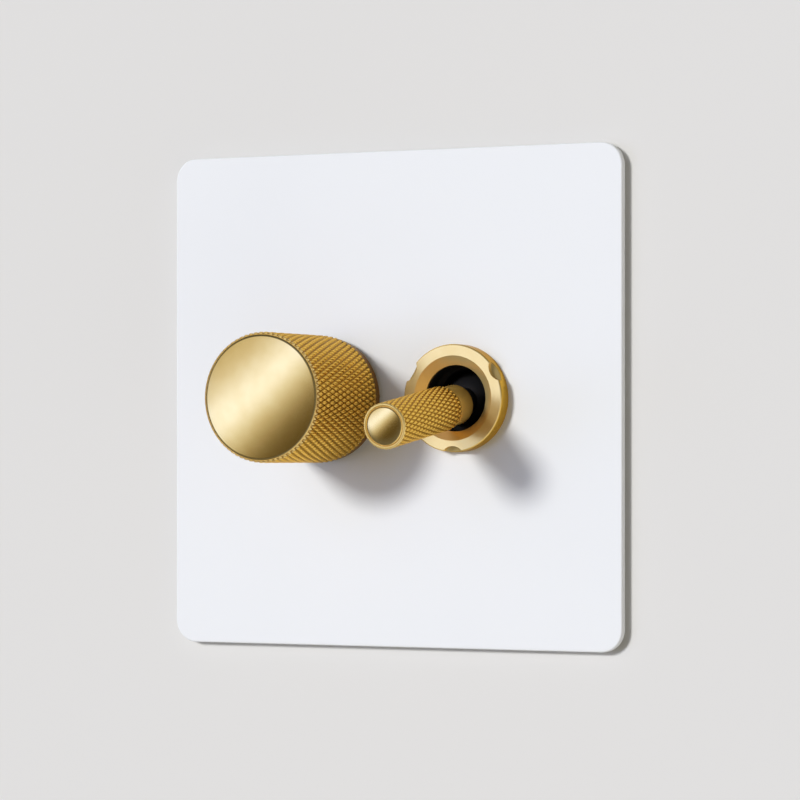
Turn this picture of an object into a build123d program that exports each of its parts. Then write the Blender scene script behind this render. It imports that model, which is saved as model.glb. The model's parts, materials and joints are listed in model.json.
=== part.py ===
"""Light switch with a dimmer: a thin square wall plate with a turning knob and a toggle.

Millimetres. X runs to the right along the wall, Z runs up, and the front faces -Y.
The origin is the middle of the two fixing holes, on the back face of the mounting bracket,
which is the face that seats on the lugs of the wall box.
"""
import math
import os

from build123d import *

os.makedirs("parts", exist_ok=True)

# Front plate
plate_size = 86.0
plate_thickness = 1.2
plate_corner = 3.9
plate_edge = 0.3
control_spacing = 25.6

# Mounting bracket, a shallow pressed tray whose rim carries the front plate
fixing_centres = 60.3
fixing_hole = 3.8
bracket_size = 68.0
bracket_corner = 4.0
bracket_sheet = 1.2
bracket_depth = 4.6
slot_length = 8.0
earth_tab_width = 7.4
earth_tab_length = 7.0
earth_tab_z = 19.0
earth_hole = 3.2

# Clearances, and the edges that every turned piece has
running = 0.3
thread_gap = 0.05
loose = 0.1
piece_gap = 1.0
edge_break = 0.2

# Dimmer knob
knob_diameter = 22.2
knob_length = 23.5
knob_dome = 1.4
knob_bevel = 0.35
knob_bevel_depth = 0.55
knob_groove = 0.15
knob_land = 2.0
knob_land_step = 0.25
knob_recess_diameter = 18.6
knob_recess_depth = 6.0
insert_diameter = 9.2
insert_length = 9.6
insert_slit = 0.8
insert_slit_length = 5.8

# Dimmer shaft, bush and nuts
shaft_diameter = 6.0
shaft_flat = 2.4
shaft_gap = 0.05
shaft_end_gap = 0.4
clip_thickness = 0.5
clip_groove = 0.5
clip_rim = 1.2
clip_mouth = 4.0
dimmer_thread = 9.8
dimmer_nut_flats = 14.0
dimmer_nut_height = 2.2
dimmer_washer_height = 0.6
dimmer_washer_rim = 0.6
nut_bevel = 0.5
dimmer_thread_proud = 0.8
back_nut_height = 2.0
push_travel = 0.5
push_clearance = 0.3

# Dimmer module
sink_width = 26.0
sink_corner = 2.0
sink_thickness = 2.0
housing_width = 24.0
housing_height = 48.0
housing_depth = 21.0
housing_wall = 1.6
housing_corner = 2.0
ear_reach = 4.0
ear_thickness = 2.5
rib_width = 1.0
rib_depth = 0.5
rib_count = 9
rib_margin = 3.0
track_case_diameter = 17.2
track_case_wall = 1.0
track_case_depth = 5.2
flange_thickness = 1.2
board_thickness = 1.6
track_board_thickness = 0.8
rotor_thickness = 2.2
wiper_inset = 1.8
wiper_width = 1.4
wiper_height = 3.2
push_body_size = 11.0
push_body_depth = 7.0
push_wall = 1.0
button_diameter = 4.4
button_flange_diameter = 6.4
button_flange = 1.0
spring_wire = 0.5
coil_turns = 4
choke_ring = 8.6
choke_wire = 4.6
capacitor_width = 10.0
capacitor_height = 6.0
capacitor_depth = 8.0
capacitor_corner = 0.6
triac_width = 10.0
triac_thickness = 4.5
triac_corner = 0.4
leg_pitch = 2.54
leg_size = 0.7
pillar_diameter = 2.6
pillar_inset = 1.5
block_end = 0.5
dimmer_block_height = 8.0
dimmer_block_depth = 9.0
block_groove = 0.8
wire_depth = 3.2

# Screws
screw_diameter = 2.9
screw_head = 4.8
ear_screw_head = 3.8
screw_head_height = 1.5
screw_end_gap = 0.2
clamp_head = 4.0
clamp_head_height = 1.1
clamp_well = 4.4
clamp_well_depth = 1.2
clamp_reach = 1.0
side_screw_head = 3.8
side_screw_head_height = 1.4
slot_width = 0.6
slot_depth = 0.6

# Toggle lever
lever_tilt = 8.15
lever_reach = 35.4
lever_dome = 0.5
bar_diameter = 7.75
bar_rim = 0.45
bar_groove = 0.25
bar_knurl_start = 13.4
neck_diameter = 6.9
neck_start = 7.7
stem_diameter = 5.0
stem_in_bar = 12.0
stem_end_gap = 0.5
plunger_well_wall = 1.2
plunger_wire = 0.4
ball_diameter = 9.4
pivot_depth = 6.0
pin_diameter = 1.6
tail_diameter = 5.2
tail_length = 9.0
plunger_diameter = 2.9
plunger_tip = 10.5
plunger_length = 5.5

# Toggle bush and its dress nut
toggle_thread = 12.6
toggle_proud = 1.1
cup_diameter = 11.4
cup_depth = 3.2
keyway_width = 1.4
keyway_depth = 0.5
ring_diameter = 18.5
ring_height = 2.8
ring_cone_diameter = 14.6
ring_lip = 0.5
notch_diameter = 4.8
notch_circle = 21.2
notch_depth = 1.0
notch_angles = (30, 150, 270)
drill_point = 118.0
toggle_nut_flats = 16.0

# Toggle case and contacts
flange_width = 17.0
flange_height = 20.0
flange_sheet = 1.8
flange_corner = 1.5
frame_sheet = 0.8
frame_leg_width = 10.0
frame_tab = 2.0
case_width = 16.4
case_height = 24.0
case_depth = 16.8
case_floor = 2.4
case_corner = 1.2
barrier_thickness = 0.8
barrier_height = 5.0
chamber_height = 19.6
rocker_swing = 6.0
rocker_reach = 8.0
rocker_sheet = 0.9
rocker_width = 5.0
rocker_foot = 4.0
cradle_radius = 0.8
contact_radius = 1.2
contact_height = 0.7
contact_offset = 7.2
shelf_margin = 0.5
blade_sheet = 0.8
block_width = 5.4
block_height = 5.0
block_depth = 6.0
block_wall = 1.2
wire_hole = 3.0
clamp_screw = 2.4

# Depths, worked out from the sizes above
wall_y = -bracket_depth
face_y = wall_y - plate_thickness
tray_y = -bracket_sheet
knob_standoff = push_travel + push_clearance
sink_height = housing_height + 2 * ear_reach
dimmer_x = -control_spacing / 2
toggle_x = control_spacing / 2
dimmer_axis = Axis((dimmer_x, 0, 0), (0, 1, 0))
toggle_axis = Axis((toggle_x, 0, 0), (0, 1, 0))


def facing(depth, x=0.0, z=0.0):
    """A sketch plane parallel to the wall at this depth, seen from the front."""
    return Plane(origin=(x, depth, z), x_dir=(1, 0, 0), z_dir=(0, -1, 0))


def turning(x):
    """A half-section plane through a control's axis: local x is the radius, local y the depth."""
    return Plane(origin=(x, 0, 0), x_dir=(1, 0, 0), z_dir=(0, 0, 1))


def side(x):
    """A sketch plane square to the wall, for shapes that keep their section along X."""
    return Plane(origin=(x, 0, 0), x_dir=(0, 1, 0), z_dir=(1, 0, 0))


def save(piece, name):
    """Labels the finished piece and writes its file."""
    piece.part.label = name
    export_step(piece.part, f"parts/{name}.step")


# Front plate: laser-cut sheet with softened edges and a hole for each control
with BuildPart() as front_plate:
    with BuildSketch(facing(wall_y)):
        RectangleRounded(plate_size, plate_size, plate_corner)
        with Locations((dimmer_x, 0)):
            Circle(dimmer_thread / 2 + running, mode=Mode.SUBTRACT)
        with Locations((toggle_x, 0)):
            Circle(toggle_thread / 2 + running, mode=Mode.SUBTRACT)
    extrude(amount=plate_thickness)
    outer_front = front_plate.faces().sort_by(Axis.Y)[0].outer_wire().edges()
    fillet(outer_front, plate_edge)
save(front_plate, "front_plate")

# Mounting bracket: tray with a rim, two fixing holes, two slots for upright lugs, a hole for each bush,
# and an earth tab lanced out of the floor and bent back
with BuildPart() as mounting_bracket:
    with BuildSketch(facing(0)):
        RectangleRounded(bracket_size, bracket_size, bracket_corner)
    extrude(amount=bracket_depth)
    with BuildSketch(facing(tray_y)):
        inner = bracket_size - 2 * bracket_sheet
        RectangleRounded(inner, inner, bracket_corner - bracket_sheet)
    extrude(amount=bracket_depth - bracket_sheet, mode=Mode.SUBTRACT)
    with BuildSketch(facing(0)):
        with GridLocations(fixing_centres, 0, 2, 1):
            Circle(fixing_hole / 2)
        with Locations((dimmer_x, 0)):
            Circle(dimmer_thread / 2 + thread_gap)
        with Locations((toggle_x, 0)):
            Circle(toggle_thread / 2 + thread_gap)
        with GridLocations(0, fixing_centres, 1, 2):
            SlotOverall(slot_length, fixing_hole)
        with Locations((toggle_x, earth_tab_z + earth_tab_length / 2)):
            Rectangle(earth_tab_width + 2 * running, earth_tab_length)
    extrude(amount=bracket_sheet, mode=Mode.SUBTRACT)
    fillet(mounting_bracket.faces().sort_by(Axis.Y)[-1].outer_wire().edges(), bracket_sheet * 0.8)
    tab_z = earth_tab_z - bracket_sheet
    with BuildSketch(Plane(origin=(toggle_x, 0, tab_z), x_dir=(1, 0, 0), z_dir=(0, 0, 1))):
        with Locations((0, earth_tab_length / 2 + tray_y / 2)):
            Rectangle(earth_tab_width, earth_tab_length - tray_y)
        with Locations((0, earth_tab_length / 2)):
            Circle(earth_hole / 2, mode=Mode.SUBTRACT)
    extrude(amount=bracket_sheet)
save(mounting_bracket, "mounting_bracket")

# Dimmer knob: turned from bar, domed end inside a fine groove and a bevel, hollow at the back
knob_back_y = face_y - knob_standoff
knob_front_y = knob_back_y - knob_length
knob_r = knob_diameter / 2
dome_r = knob_r - knob_bevel - knob_groove
recess_y = knob_back_y - knob_recess_depth
bore_y = recess_y - insert_length - edge_break
with BuildPart() as dimmer_knob:
    with BuildSketch(turning(dimmer_x)):
        with BuildLine():
            land_r = knob_r - knob_land_step
            ThreePointArc((0, knob_front_y - knob_dome), (dome_r / 2, knob_front_y - knob_dome * 3 / 4),
                          (dome_r, knob_front_y))
            Polyline((dome_r, knob_front_y), (dome_r + knob_groove / 2, knob_front_y + knob_groove),
                     (dome_r + knob_groove, knob_front_y), (knob_r, knob_front_y + knob_bevel_depth),
                     (knob_r, knob_back_y - knob_land),
                     (land_r, knob_back_y - knob_land), (land_r, knob_back_y - edge_break),
                     (land_r - edge_break, knob_back_y), (knob_recess_diameter / 2, knob_back_y),
                     (knob_recess_diameter / 2, recess_y), (insert_diameter / 2, recess_y),
                     (insert_diameter / 2, bore_y), (0, bore_y), (0, knob_front_y - knob_dome))
        make_face()
    revolve(axis=dimmer_axis)
save(dimmer_knob, "dimmer_knob")

# Shaft: round with one flat, so knob and rotor turn with it, and a groove for its clip
shaft_r = shaft_diameter / 2
track_front_y = sink_thickness + flange_thickness
track_back_y = track_front_y + track_case_depth
clip_y = track_back_y + loose
clip_groove_r = shaft_r - clip_groove
shaft_back_y = clip_y + clip_thickness + running
shaft_front_y = bore_y + edge_break + shaft_end_gap


def flatted(radius, flat):
    """A circle cut off straight at the flat's distance above the middle, as a D."""
    with BuildSketch() as shape:
        Circle(radius)
        with Locations((0, flat + radius)):
            Rectangle(4 * radius, 2 * radius, mode=Mode.SUBTRACT)
    return shape.sketch


with BuildPart() as dimmer_shaft:
    with BuildSketch(facing(shaft_back_y, dimmer_x)):
        add(flatted(shaft_r, shaft_flat))
    extrude(amount=shaft_back_y - shaft_front_y)
    with BuildSketch(facing(clip_y + clip_thickness, dimmer_x)):
        Circle(shaft_r + loose)
        Circle(clip_groove_r, mode=Mode.SUBTRACT)
    extrude(amount=clip_thickness, mode=Mode.SUBTRACT)
    chamfer(dimmer_shaft.faces().sort_by(Axis.Y)[0].edges(), edge_break)
save(dimmer_shaft, "dimmer_shaft")

# Retaining clip: an open ring that stops the shaft behind the track case
with BuildPart() as shaft_clip:
    with BuildSketch(facing(clip_y + clip_thickness, dimmer_x)):
        Circle(shaft_r + clip_rim)
        Circle(clip_groove_r + shaft_gap, mode=Mode.SUBTRACT)
        with Locations((0, -shaft_diameter)):
            Rectangle(clip_mouth, 2 * shaft_diameter, mode=Mode.SUBTRACT)
    extrude(amount=clip_thickness)
save(shaft_clip, "shaft_clip")

# Insert: moulded sleeve, slit to spring on the flatted shaft inside the knob
with BuildPart() as knob_insert:
    with BuildSketch(facing(recess_y, dimmer_x)):
        Circle(insert_diameter / 2 - shaft_gap)
        add(flatted(shaft_r + shaft_gap, shaft_flat + shaft_gap), mode=Mode.SUBTRACT)
    extrude(amount=insert_length)
    with BuildSketch(facing(recess_y, dimmer_x)):
        Rectangle(insert_diameter, insert_slit)
    extrude(amount=insert_slit_length, mode=Mode.SUBTRACT)
save(knob_insert, "knob_insert")


def hex_nut(seat_y, x, flats, thread_r, height):
    """A hexagon nut: its seat lies at this depth, and its outer corners are turned off to a cone."""
    corner_r = flats / math.sqrt(3)
    front_y = seat_y - height
    with BuildPart() as nut:
        with BuildSketch(facing(seat_y, x)):
            RegularPolygon(flats / 2, 6, major_radius=False)
            Circle(thread_r + thread_gap, mode=Mode.SUBTRACT)
        extrude(amount=height)
        with BuildSketch(turning(x)):
            with BuildLine():
                Polyline((0, seat_y), (corner_r, seat_y), (corner_r, front_y + nut_bevel),
                         (corner_r - 2 * nut_bevel, front_y), (0, front_y), close=True)
            make_face()
        revolve(axis=Axis((x, 0, 0), (0, 1, 0)), mode=Mode.INTERSECT)
    return nut.part


# Nuts and washer of the dimmer
washer_front_y = face_y - dimmer_washer_height
with BuildPart() as dimmer_washer:
    with BuildSketch(facing(face_y, dimmer_x)):
        Circle(dimmer_nut_flats / 2 + dimmer_washer_rim)
        Circle(dimmer_thread / 2 + thread_gap, mode=Mode.SUBTRACT)
    extrude(amount=dimmer_washer_height)
save(dimmer_washer, "dimmer_washer")

with BuildPart() as dimmer_hex_nut:
    add(hex_nut(washer_front_y, dimmer_x, dimmer_nut_flats, dimmer_thread / 2, dimmer_nut_height))
save(dimmer_hex_nut, "dimmer_hex_nut")

with BuildPart() as dimmer_back_nut:
    add(hex_nut(tray_y, dimmer_x, dimmer_nut_flats, dimmer_thread / 2, back_nut_height))
save(dimmer_back_nut, "dimmer_back_nut")

# Threaded bush of the dimmer, with a flange behind the heat sink
bush_front_y = washer_front_y - dimmer_nut_height - dimmer_thread_proud
track_r = track_case_diameter / 2
with BuildPart() as dimmer_bush:
    with BuildSketch(turning(dimmer_x)):
        bore_r = shaft_r + shaft_gap
        with BuildLine():
            Polyline((bore_r, bush_front_y), (dimmer_thread / 2 - edge_break, bush_front_y),
                     (dimmer_thread / 2, bush_front_y + edge_break), (dimmer_thread / 2, sink_thickness),
                     (track_r, sink_thickness), (track_r, track_front_y), (bore_r, track_front_y),
                     close=True)
        make_face()
    revolve(axis=dimmer_axis)
save(dimmer_bush, "dimmer_bush")

# Heat sink: aluminium plate between bracket and housing
ear_z = (housing_height + sink_height) / 4
with BuildPart() as heat_sink:
    with BuildSketch(facing(sink_thickness, dimmer_x)):
        RectangleRounded(sink_width, sink_height, sink_corner)
        Circle(dimmer_thread / 2 + thread_gap, mode=Mode.SUBTRACT)
        with GridLocations(0, 2 * ear_z, 1, 2):
            Circle(screw_diameter / 2 + thread_gap, mode=Mode.SUBTRACT)
    extrude(amount=sink_thickness)
save(heat_sink, "heat_sink")

# Variable resistor: its case, the ring of track and the rotor that wipes it
with BuildPart() as track_case:
    with BuildSketch(turning(dimmer_x)):
        inner_r = track_r - track_case_wall
        hole_r = shaft_r + running
        with BuildLine():
            Polyline((inner_r, track_front_y), (track_r, track_front_y), (track_r, track_back_y),
                     (hole_r, track_back_y), (hole_r, track_back_y - track_case_wall),
                     (inner_r, track_back_y - track_case_wall), close=True)
        make_face()
    revolve(axis=dimmer_axis)
save(track_case, "track_case")

track_board_y = track_back_y - track_case_wall
with BuildPart() as track_board:
    with BuildSketch(facing(track_board_y, dimmer_x)):
        Circle(track_r - track_case_wall - loose)
        Circle(shaft_r + 2 * running, mode=Mode.SUBTRACT)
    extrude(amount=track_board_thickness)
save(track_board, "track_board")

rotor_back_y = track_front_y + running + rotor_thickness
with BuildPart() as wiper_rotor:
    with BuildSketch(facing(rotor_back_y, dimmer_x)):
        Circle(track_r - track_case_wall - 2 * running)
        add(flatted(shaft_r + shaft_gap, shaft_flat + shaft_gap), mode=Mode.SUBTRACT)
    extrude(amount=rotor_thickness)
    finger_length = track_board_y - track_board_thickness - running - rotor_back_y
    with BuildSketch(facing(rotor_back_y + finger_length, dimmer_x)):
        with PolarLocations(track_r - track_case_wall - wiper_inset, 3):
            RectangleRounded(wiper_width, wiper_height, wiper_width / 3)
    extrude(amount=finger_length)
save(wiper_rotor, "wiper_rotor")

# Push switch behind the shaft: body, plunger and the spring that brings the knob back
push_front_y = shaft_back_y + push_travel + push_clearance
push_back_y = push_front_y + push_body_depth
button_r = button_diameter / 2
button_flange_r = button_flange_diameter / 2
well_r = button_flange_r + running
button_flange_y = push_front_y + push_wall + 2 * loose
with BuildPart() as push_switch_body:
    with BuildSketch(facing(push_back_y, dimmer_x)):
        RectangleRounded(push_body_size, push_body_size, push_wall)
    extrude(amount=push_body_depth)
    with BuildSketch(facing(push_back_y - push_wall, dimmer_x)):
        Circle(well_r)
    extrude(amount=push_body_depth - 2 * push_wall, mode=Mode.SUBTRACT)
    with BuildSketch(facing(push_front_y + push_wall, dimmer_x)):
        Circle(button_r + running)
    extrude(amount=push_wall, mode=Mode.SUBTRACT)
save(push_switch_body, "push_switch_body")

with BuildPart() as push_switch_plunger:
    with BuildSketch(turning(dimmer_x)):
        with BuildLine():
            Polyline((0, shaft_back_y + thread_gap), (button_r, shaft_back_y + thread_gap),
                     (button_r, button_flange_y), (button_flange_r, button_flange_y),
                     (button_flange_r, button_flange_y + button_flange),
                     (0, button_flange_y + button_flange), close=True)
        make_face()
    revolve(axis=dimmer_axis)
save(push_switch_plunger, "push_switch_plunger")

wire_r = spring_wire / 2
return_front_y = button_flange_y + button_flange + wire_r
return_back_y = push_back_y - push_wall - wire_r
return_length = return_back_y - return_front_y
with BuildPart() as return_spring:
    with BuildLine() as return_coil:
        Helix(pitch=return_length / coil_turns, height=return_length,
              radius=button_flange_r - 2 * spring_wire,
              center=(dimmer_x, return_back_y, 0), direction=(0, -1, 0))
    with BuildSketch(Plane(return_coil.line @ 0, z_dir=return_coil.line % 0)):
        RegularPolygon(wire_r, 6)
    sweep(path=return_coil.line, is_frenet=True)
save(return_spring, "return_spring")

# Circuit board and what stands on it
board_front_y = push_back_y
board_back_y = board_front_y + board_thickness
board_width = housing_width - 2 * housing_wall - 2 * running
board_height = housing_height - 2 * housing_wall - 2 * running
with BuildPart() as circuit_board:
    with BuildSketch(facing(board_back_y, dimmer_x)):
        RectangleRounded(board_width, board_height, board_thickness / 2)
    extrude(amount=board_thickness)
save(circuit_board, "circuit_board")

choke_major = choke_ring / 2
choke_minor = choke_wire / 2
choke_z = (push_body_size + board_height) / 4
with BuildPart() as choke:
    with Locations(Plane(origin=(dimmer_x, board_front_y - choke_minor - loose, choke_z), z_dir=(0, 1, 0))):
        Torus(choke_major, choke_minor)
save(choke, "choke")

capacitor_z = -push_body_size / 2 - 2 * piece_gap - capacitor_height / 2
with BuildPart() as capacitor:
    with BuildSketch(facing(board_front_y, dimmer_x, capacitor_z)):
        RectangleRounded(capacitor_width, capacitor_height, capacitor_corner)
    extrude(amount=capacitor_depth)
    fillet(capacitor.faces().sort_by(Axis.Y)[0].edges(), capacitor_corner * 0.8)
save(capacitor, "capacitor")

# Triac: moulded body bolted flat on the heat sink, three legs bent to the board
triac_top_z = -track_r - piece_gap
leg_z = -housing_height / 2 + housing_wall + running + leg_size
triac_length = triac_top_z - leg_z - leg_size
triac_z = triac_top_z - triac_length / 2
with BuildPart() as triac:
    with BuildSketch(facing(sink_thickness + triac_thickness, dimmer_x, triac_z)):
        RectangleRounded(triac_width, triac_length, triac_corner)
        Circle(screw_diameter / 2 + thread_gap, mode=Mode.SUBTRACT)
    extrude(amount=triac_thickness)
    leg_y = sink_thickness + triac_thickness / 2
    for number in (-1, 0, 1):
        leg_x = dimmer_x + number * leg_pitch
        with BuildSketch(side(leg_x - leg_size / 2)):
            with BuildLine():
                Polyline((leg_y - leg_size / 2, triac_z), (leg_y - leg_size / 2, leg_z - leg_size / 2),
                         (board_front_y, leg_z - leg_size / 2), (board_front_y, leg_z + leg_size / 2),
                         (leg_y + leg_size / 2, leg_z + leg_size / 2), (leg_y + leg_size / 2, triac_z),
                         close=True)
            make_face()
        extrude(amount=leg_size)
    with BuildSketch(facing(sink_thickness + triac_thickness, dimmer_x, triac_z)):
        Circle(screw_diameter / 2 + thread_gap)
    extrude(amount=triac_thickness, mode=Mode.SUBTRACT)
save(triac, "triac")


def pan_screw(depth, x, z, reach, head=screw_head, head_height=screw_head_height, shank=screw_diameter):
    """A slotted pan-head screw: the head's seat lies at this depth, the shank runs to the front."""
    with BuildPart() as screw:
        with BuildSketch(facing(depth, x, z)):
            Circle(shank / 2)
        extrude(amount=reach)
        with BuildSketch(facing(depth + head_height, x, z)):
            Circle(head / 2)
        extrude(amount=head_height)
        with BuildSketch(facing(depth + head_height, x, z)):
            Rectangle(1.1 * head, slot_width)
        extrude(amount=slot_depth, mode=Mode.SUBTRACT)
    return screw.part


with BuildPart() as triac_screw:
    add(pan_screw(sink_thickness + triac_thickness, dimmer_x, triac_z, triac_thickness))
save(triac_screw, "triac_screw")

# Moulded housing of the dimmer: open to the heat sink, two ears, cooling ribs on its sides, and four
# pillars under the board
housing_front_y = sink_thickness
housing_back_y = housing_front_y + housing_depth
block_x = board_width
terminal_pitch = (block_x - 2 * block_end) / 3
block_z = dimmer_block_height
block_front_y = board_back_y
pillar_r = pillar_diameter / 2
terminal_z = -board_height / 2 + pillar_inset + pillar_r + running + block_z / 2
with BuildPart() as dimmer_housing:
    with BuildSketch(facing(housing_back_y, dimmer_x)):
        RectangleRounded(housing_width, housing_height, housing_corner)
    extrude(amount=housing_depth)
    with BuildSketch(facing(housing_front_y + ear_thickness, dimmer_x)):
        RectangleRounded(housing_width / 2, sink_height, housing_corner)
    extrude(amount=ear_thickness)
    rib_pitch = (housing_height - 2 * housing_corner - 2 * rib_margin) / (rib_count - 1)
    with BuildSketch(facing(housing_back_y - rib_margin, dimmer_x)):
        with GridLocations(housing_width, rib_pitch, 2, rib_count):
            Rectangle(2 * rib_depth, rib_width)
    extrude(amount=housing_depth - 2 * rib_margin)
    with BuildSketch(facing(housing_back_y - housing_wall, dimmer_x)):
        RectangleRounded(housing_width - 2 * housing_wall, housing_height - 2 * housing_wall,
                         housing_corner - housing_wall)
    extrude(amount=housing_depth, mode=Mode.SUBTRACT)
    with BuildSketch(facing(housing_back_y - housing_wall, dimmer_x)):
        with GridLocations(board_width - 2 * pillar_inset, board_height - 2 * pillar_inset, 2, 2):
            Circle(pillar_r)
    extrude(amount=housing_back_y - housing_wall - board_back_y)
    with BuildSketch(facing(housing_back_y, dimmer_x)):
        with GridLocations(0, 2 * ear_z, 1, 2):
            Circle(screw_diameter / 2 + thread_gap)
    extrude(amount=housing_depth, mode=Mode.SUBTRACT)
    with BuildSketch(facing(housing_back_y, dimmer_x, terminal_z)):
        Rectangle(block_x + 2 * shaft_gap, block_z + 2 * shaft_gap)
    extrude(amount=housing_wall, mode=Mode.SUBTRACT)
save(dimmer_housing, "dimmer_housing")

with BuildPart() as housing_screws:
    ear_reach_in = ear_thickness + sink_thickness - screw_end_gap
    for end in (-1, 1):
        add(pan_screw(housing_front_y + ear_thickness, dimmer_x, end * ear_z, ear_reach_in, ear_screw_head))
save(housing_screws, "housing_screws")

# Dimmer terminals: a block on the board with three wire holes below and three clamp screws behind
block_back_y = block_front_y + dimmer_block_depth
wire_y = block_back_y - wire_depth
wire_plane = Plane(origin=(dimmer_x, wire_y, terminal_z - block_z / 2), x_dir=(1, 0, 0), z_dir=(0, 0, 1))
with BuildPart() as dimmer_terminal_block:
    with BuildSketch(facing(block_back_y, dimmer_x, terminal_z)):
        Rectangle(block_x, block_z)
    extrude(amount=dimmer_block_depth)
    with BuildSketch(wire_plane):
        with GridLocations(terminal_pitch, 0, 3, 1):
            Circle(wire_hole / 2)
    extrude(amount=block_z - block_wall, mode=Mode.SUBTRACT)
    with BuildSketch(facing(block_back_y, dimmer_x, terminal_z)):
        with GridLocations(terminal_pitch, 0, 3, 1):
            Circle(clamp_well / 2)
    extrude(amount=clamp_well_depth, mode=Mode.SUBTRACT)
    with BuildSketch(facing(block_back_y, dimmer_x, terminal_z)):
        with GridLocations(terminal_pitch, 0, 2, 1):
            Rectangle(block_groove, block_z)
    extrude(amount=block_groove, mode=Mode.SUBTRACT)
    with BuildSketch(facing(block_back_y, dimmer_x, terminal_z)):
        with GridLocations(terminal_pitch, 0, 3, 1):
            Circle(clamp_screw / 2 + thread_gap)
    extrude(amount=block_back_y - wire_y, mode=Mode.SUBTRACT)
save(dimmer_terminal_block, "dimmer_terminal_block")

with BuildPart() as dimmer_terminal_screws:
    for number in (-1, 0, 1):
        add(pan_screw(block_back_y - clamp_well_depth, dimmer_x + number * terminal_pitch, terminal_z,
                      clamp_reach, clamp_head, clamp_head_height, clamp_screw))
save(dimmer_terminal_screws, "dimmer_terminal_screws")

# Toggle bush: black threaded neck with a keyway, a cup round the ball, and a flange behind the bracket
pivot_y = face_y + pivot_depth
thread_r = toggle_thread / 2
ball_r = ball_diameter / 2
cup_r = cup_diameter / 2
throat_r = ball_r + running
lip_y = face_y - toggle_proud
cup_y = lip_y + cup_depth
pin_r = pin_diameter / 2
with BuildPart() as toggle_bush:
    with BuildSketch(facing(flange_sheet, toggle_x)):
        RectangleRounded(flange_width, flange_height, flange_corner)
    extrude(amount=flange_sheet)
    with BuildSketch(facing(0, toggle_x)):
        Circle(thread_r)
        with Locations((0, thread_r)):
            Rectangle(keyway_width, 2 * keyway_depth, mode=Mode.SUBTRACT)
    extrude(amount=-lip_y)
    with BuildSketch(turning(toggle_x)):
        with BuildLine():
            Polyline((0, lip_y), (cup_r + edge_break, lip_y), (cup_r, lip_y + edge_break), (cup_r, cup_y),
                     (throat_r, cup_y + cup_r - throat_r), (throat_r, flange_sheet), (0, flange_sheet),
                     close=True)
        make_face()
    revolve(axis=toggle_axis, mode=Mode.SUBTRACT)
    with BuildSketch(side(toggle_x - thread_r)):
        with Locations((pivot_y, 0)):
            Circle(pin_r + thread_gap)
    extrude(amount=2 * thread_r, mode=Mode.SUBTRACT)
save(toggle_bush, "toggle_bush")

with BuildPart() as pivot_pin:
    with BuildSketch(side(toggle_x - thread_r + thread_gap)):
        with Locations((pivot_y, 0)):
            Circle(pin_r)
    extrude(amount=2 * thread_r - 2 * thread_gap)
save(pivot_pin, "pivot_pin")

with BuildPart() as toggle_back_nut:
    add(hex_nut(tray_y, toggle_x, toggle_nut_flats, thread_r, back_nut_height))
save(toggle_back_nut, "toggle_back_nut")

# Dress nut: its lip covers the end of the bush, a cone leads in to the cup, and three notches for a pin
# spanner are drilled half outside its edge, so each ends in part of the drill's cone
ring_r = ring_diameter / 2
ring_front_y = face_y - ring_height
ring_bore_r = thread_r + thread_gap
notch_r = notch_diameter / 2
point_depth = notch_r / math.tan(math.radians(drill_point / 2))
with BuildPart() as toggle_ring_nut:
    with BuildSketch(turning(toggle_x)):
        with BuildLine():
            Polyline((ring_bore_r, face_y), (ring_r, face_y), (ring_r, ring_front_y + edge_break),
                     (ring_r - edge_break, ring_front_y), (ring_cone_diameter / 2, ring_front_y),
                     (cup_r, lip_y - ring_lip), (cup_r, lip_y), (ring_bore_r, lip_y), close=True)
        make_face()
    revolve(axis=toggle_axis)
    for angle in notch_angles:
        notch_x = toggle_x + notch_circle / 2 * math.cos(math.radians(angle))
        notch_z = notch_circle / 2 * math.sin(math.radians(angle))
        with BuildSketch(turning(notch_x).offset(notch_z)):
            with BuildLine():
                Polyline((0, ring_front_y), (notch_r, ring_front_y), (notch_r, ring_front_y + notch_depth),
                         (0, ring_front_y + notch_depth + point_depth), close=True)
            make_face()
        revolve(axis=Axis((notch_x, 0, notch_z), (0, 1, 0)), mode=Mode.SUBTRACT)
save(toggle_ring_nut, "toggle_ring_nut")

# Lever, drawn along its own axis, which leans down from the pivot at rest
lean = math.radians(lever_tilt)
lever_plane = Plane(origin=(toggle_x, pivot_y, 0), x_dir=(1, 0, 0),
                    z_dir=(0, math.sin(lean), -math.cos(lean)))
lever_axis = Axis((toggle_x, pivot_y, 0), (0, -math.cos(lean), -math.sin(lean)))
bar_r = bar_diameter / 2
neck_r = neck_diameter / 2
stem_r = stem_diameter / 2
bar_dome_r = bar_r - bar_rim - bar_groove
stem_end = neck_start + stem_in_bar
with BuildPart() as toggle_bar:
    with BuildSketch(lever_plane):
        with BuildLine():
            ThreePointArc((0, lever_reach + lever_dome), (bar_dome_r / 2, lever_reach + lever_dome * 3 / 4),
                          (bar_dome_r, lever_reach))
            Polyline((bar_dome_r, lever_reach), (bar_dome_r + bar_groove / 2, lever_reach - bar_groove),
                     (bar_dome_r + bar_groove, lever_reach), (bar_r - edge_break, lever_reach),
                     (bar_r, lever_reach - edge_break), (bar_r, bar_knurl_start),
                     (neck_r, bar_knurl_start - edge_break), (neck_r, neck_start + edge_break),
                     (neck_r - edge_break, neck_start), (stem_r + thread_gap, neck_start),
                     (stem_r + thread_gap, stem_end + stem_end_gap), (0, stem_end + stem_end_gap),
                     (0, lever_reach + lever_dome))
        make_face()
    revolve(axis=lever_axis)
save(toggle_bar, "toggle_bar")

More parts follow.
